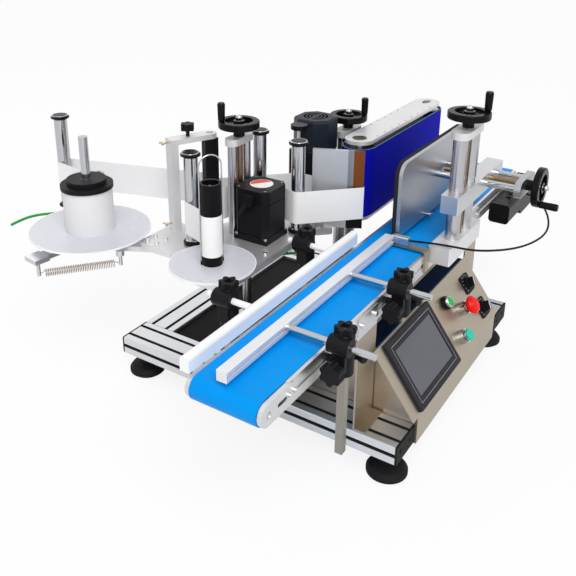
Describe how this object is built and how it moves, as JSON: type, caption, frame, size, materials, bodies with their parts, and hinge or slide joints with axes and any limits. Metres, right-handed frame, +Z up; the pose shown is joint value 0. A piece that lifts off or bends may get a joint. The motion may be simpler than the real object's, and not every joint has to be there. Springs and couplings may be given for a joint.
{
  "type": "desktop bottle labelling machine",
  "caption": "Benchtop round-bottle labeller: a belt conveyor feeds bottles past a peel plate, then a wrap belt rolls them against a press pad; label reels ride on a lift stand.",
  "frame": {"origin": "on the floor below the middle of the machine's box", "axes": "+X along the conveyor in the direction the bottles travel, +Y away from the operator, +Z up"},
  "size_m": [1.2498, 1.0443, 0.6603],
  "materials": {
    "slotted_aluminium": "anodised, satin",
    "bright_aluminium": "machined, satin",
    "stainless": "brushed",
    "bright_steel": "ground and polished",
    "black_plastic": "moulded",
    "black_rubber": "moulded",
    "black_paint": "semi-matt",
    "grey_paint": "semi-gloss",
    "blue_belt": "smooth",
    "deep_blue_belt": "smooth",
    "foam": "matt foam",
    "white_plastic": "translucent",
    "paper": "matt",
    "screen": "gloss",
    "green_button": "gloss",
    "teal_button": "gloss",
    "red_button": "gloss",
    "green_cord": "smooth"
  },
  "bodies": {
    "frame": {"base_beams": "slotted_aluminium", "feet_and_caps": "black_rubber", "base_pan": "black_paint", "conveyor_frame": "bright_aluminium", "conveyor_belt": "blue_belt", "conveyor_motor": "black_paint", "control_cabinet": "stainless", "touch_screen": "screen", "panel_bezels": "black_plastic", "left_guide": "bright_aluminium", "guide_clamps": "black_plastic", "stand_columns": "bright_steel", "stand_blocks": "bright_aluminium", "bottle_sensor": "black_plastic", "sensor_cable": "black_rubber"},
    "tail_roller": {"conveyor_tail_roller": "bright_steel"},
    "drive_roller": {"conveyor_drive_roller": "bright_steel"},
    "start": {"start_button": "green_button"},
    "reset": {"reset_button": "teal_button"},
    "stop": {"stop_mushroom": "red_button"},
    "upper_speed": {"speed_knob_upper": "black_plastic"},
    "lower_speed": {"speed_knob_lower": "black_plastic"},
    "guide": {"right_guide": "bright_aluminium"},
    "near_rod_knob": {"rod_knob_near": "black_plastic"},
    "far_rod_knob": {"rod_knob_far": "black_plastic"},
    "near_post_knob": {"post_knob_near": "black_plastic"},
    "far_post_knob": {"post_knob_far": "black_plastic"},
    "press_lift": {"press_carriage": "bright_aluminium"},
    "press_wheel": {"press_handwheel": "black_plastic"},
    "press_cross": {"press_slide": "bright_aluminium", "press_pad": "foam"},
    "cross_wheel": {"press_cross_handwheel": "black_plastic"},
    "wrap_head": {"wrap_frame": "bright_aluminium", "wrap_belt": "deep_blue_belt", "wrap_motor": "grey_paint"},
    "wrap_near": {"wrap_near_roller": "bright_steel"},
    "wrap_far": {"wrap_far_roller": "bright_steel"},
    "wrap_wheel": {"wrap_handwheel": "black_plastic"},
    "label_head": {"label_plate": "bright_aluminium", "stepper_motor": "black_paint", "feed_belt": "green_cord", "peel_plate": "bright_aluminium", "brake_bracket": "bright_aluminium", "label_web": "paper", "supply_web": "paper", "dancer_spring": "bright_steel"},
    "label_wheel": {"label_handwheel": "black_plastic"},
    "stepper_shaft": {"stepper_pulley": "bright_aluminium"},
    "feed": {"feed_roller": "bright_steel"},
    "return": {"return_roller": "bright_steel"},
    "entry": {"entry_roller": "bright_steel"},
    "take_up": {"take_up_disc": "white_plastic", "take_up_core": "black_plastic"},
    "supply": {"supply_disc": "white_plastic", "label_roll": "paper", "supply_spindle": "bright_steel"},
    "dancer": {"dancer_lever": "bright_aluminium", "tail_cord": "green_cord"},
    "dancer_wheel": {"dancer_roller": "bright_steel"},
    "brake_screw": {"brake_knob": "black_plastic"}
  },
  "joints": [
    {"name": "drive_roller_turn", "type": "hinge", "parent": "frame", "child": "drive_roller", "pos_m": [0.603, -0.254, 0.315], "axis": [0, 1, 0], "continuous": true},
    {"name": "tail_roller_turn", "type": "hinge", "parent": "frame", "child": "tail_roller", "pos_m": [-0.603, -0.254, 0.315], "axis": [0, 1, 0], "continuous": true},
    {"name": "start_press", "type": "slide", "parent": "frame", "child": "start", "axis": [0, 0.8039, -0.5948], "range_m": [0, 0.0035], "stiffness_N_per_m": 300},
    {"name": "reset_press", "type": "slide", "parent": "frame", "child": "reset", "axis": [0, 0.8039, -0.5948], "range_m": [0, 0.0035], "stiffness_N_per_m": 300},
    {"name": "stop_press", "type": "slide", "parent": "frame", "child": "stop", "axis": [0, 0.8039, -0.5948], "range_m": [0, 0.0035], "stiffness_N_per_m": 600},
    {"name": "upper_speed_turn", "type": "hinge", "parent": "frame", "child": "upper_speed", "pos_m": [0.171, -0.35796, 0.19722], "axis": [0, -0.8039, 0.5948], "range_deg": [-150, 150]},
    {"name": "lower_speed_turn", "type": "hinge", "parent": "frame", "child": "lower_speed", "pos_m": [0.179, -0.39721, 0.14416], "axis": [0, -0.8039, 0.5948], "range_deg": [-150, 150]},
    {"name": "guide_shift", "type": "slide", "parent": "frame", "child": "guide", "axis": [0, 1, 0], "range_m": [-0.025, 0.02]},
    {"name": "near_rod_knob_turn", "type": "hinge", "parent": "frame", "child": "near_rod_knob", "pos_m": [-0.422, -0.353, 0.3165], "axis": [1, 0, 0], "range_deg": [-30, 360]},
    {"name": "far_rod_knob_turn", "type": "hinge", "parent": "frame", "child": "far_rod_knob", "pos_m": [-0.195, -0.353, 0.3165], "axis": [1, 0, 0], "range_deg": [-30, 360]},
    {"name": "near_post_knob_turn", "type": "hinge", "parent": "frame", "child": "near_post_knob", "pos_m": [-0.422, -0.353, 0.3105], "axis": [1, 0, 0], "range_deg": [-30, 360]},
    {"name": "far_post_knob_turn", "type": "hinge", "parent": "frame", "child": "far_post_knob", "pos_m": [-0.195, -0.353, 0.3105], "axis": [1, 0, 0], "range_deg": [-30, 360]},
    {"name": "press_lift_slide", "type": "slide", "parent": "frame", "child": "press_lift", "axis": [0, 0, 1], "range_m": [-0.008, 0.06]},
    {"name": "press_wheel_turn", "type": "hinge", "parent": "frame", "child": "press_wheel", "pos_m": [0.098, -0.35, 0.572], "axis": [0, 0, 1], "range_deg": [-725, 5405]},
    {"name": "press_cross_slide", "type": "slide", "parent": "press_lift", "child": "press_cross", "axis": [0, 1, 0], "range_m": [-0.04, 0.04]},
    {"name": "cross_wheel_turn", "type": "hinge", "parent": "press_cross", "child": "cross_wheel", "pos_m": [0.2355, -0.435, 0.4375], "axis": [0, 1, 0], "range_deg": [-3605, 3605]},
    {"name": "wrap_lift_slide", "type": "slide", "parent": "frame", "child": "wrap_head", "axis": [0, 0, 1], "range_m": [-0.02, 0.008]},
    {"name": "wrap_wheel_turn", "type": "hinge", "parent": "frame", "child": "wrap_wheel", "pos_m": [0.186, -0.032, 0.497], "axis": [0, 0, 1], "range_deg": [-1805, 725]},
    {"name": "wrap_near_turn", "type": "hinge", "parent": "wrap_head", "child": "wrap_near", "pos_m": [0.102, -0.105, 0.344], "axis": [0, 0, 1], "continuous": true},
    {"name": "wrap_far_turn", "type": "hinge", "parent": "wrap_head", "child": "wrap_far", "pos_m": [0.489, -0.105, 0.344], "axis": [0, 0, 1], "continuous": true},
    {"name": "label_lift_slide", "type": "slide", "parent": "frame", "child": "label_head", "axis": [0, 0, 1], "range_m": [-0.02, 0.03]},
    {"name": "label_wheel_turn", "type": "hinge", "parent": "frame", "child": "label_wheel", "pos_m": [-0.12, 0.068, 0.538], "axis": [0, 0, 1], "range_deg": [-1805, 2705]},
    {"name": "take_up_turn", "type": "hinge", "parent": "label_head", "child": "take_up", "pos_m": [-0.309, 0.001, 0.347], "axis": [0, 0, 1], "continuous": true},
    {"name": "stepper_turn", "type": "hinge", "parent": "label_head", "child": "stepper_shaft", "pos_m": [-0.122, 0.012, 0.337], "axis": [0, 0, 1], "continuous": true},
    {"name": "feed_turn", "type": "hinge", "parent": "label_head", "child": "feed", "pos_m": [-0.061, -0.044, 0.337], "axis": [0, 0, 1], "continuous": true},
    {"name": "return_turn", "type": "hinge", "parent": "label_head", "child": "return", "pos_m": [-0.055, 0.059, 0.337], "axis": [0, 0, 1], "continuous": true},
    {"name": "entry_turn", "type": "hinge", "parent": "label_head", "child": "entry", "pos_m": [-0.235, 0.108, 0.337], "axis": [0, 0, 1], "continuous": true},
    {"name": "supply_turn", "type": "hinge", "parent": "label_head", "child": "supply", "pos_m": [-0.32, 0.326, 0.347], "axis": [0, 0, 1], "continuous": true},
    {"name": "dancer_swing", "type": "hinge", "parent": "label_head", "child": "dancer", "pos_m": [-0.32, 0.326, 0.321], "axis": [0, 0, 1], "range_deg": [-12, 20], "stiffness_Nm_per_rad": 2, "deforming": ["dancer_spring", "supply_web"]},
    {"name": "dancer_roller_turn", "type": "hinge", "parent": "dancer", "child": "dancer_wheel", "pos_m": [-0.226, 0.498, 0.337], "axis": [0, 0, 1], "continuous": true},
    {"name": "brake_knob_turn", "type": "hinge", "parent": "label_head", "child": "brake_screw", "pos_m": [-0.17036, 0.1664, 0.548], "axis": [0, 0, 1], "range_deg": [-45, 360]}
  ],
  "couplings": [
    {"joint": "tail_roller_turn", "follows": "drive_roller_turn", "ratio": 1},
    {"joint": "press_wheel_turn", "follows": "press_lift_slide", "rad_per_m": 1570.8},
    {"joint": "cross_wheel_turn", "follows": "press_cross_slide", "rad_per_m": 1570.8},
    {"joint": "wrap_wheel_turn", "follows": "wrap_lift_slide", "rad_per_m": 1570.8},
    {"joint": "wrap_far_turn", "follows": "wrap_near_turn", "ratio": 1},
    {"joint": "label_wheel_turn", "follows": "label_lift_slide", "rad_per_m": 1570.8},
    {"joint": "stepper_turn", "follows": "take_up_turn", "ratio": 1},
    {"joint": "feed_turn", "follows": "take_up_turn", "ratio": 1},
    {"joint": "return_turn", "follows": "take_up_turn", "ratio": -1},
    {"joint": "entry_turn", "follows": "take_up_turn", "ratio": -1}
  ]
}
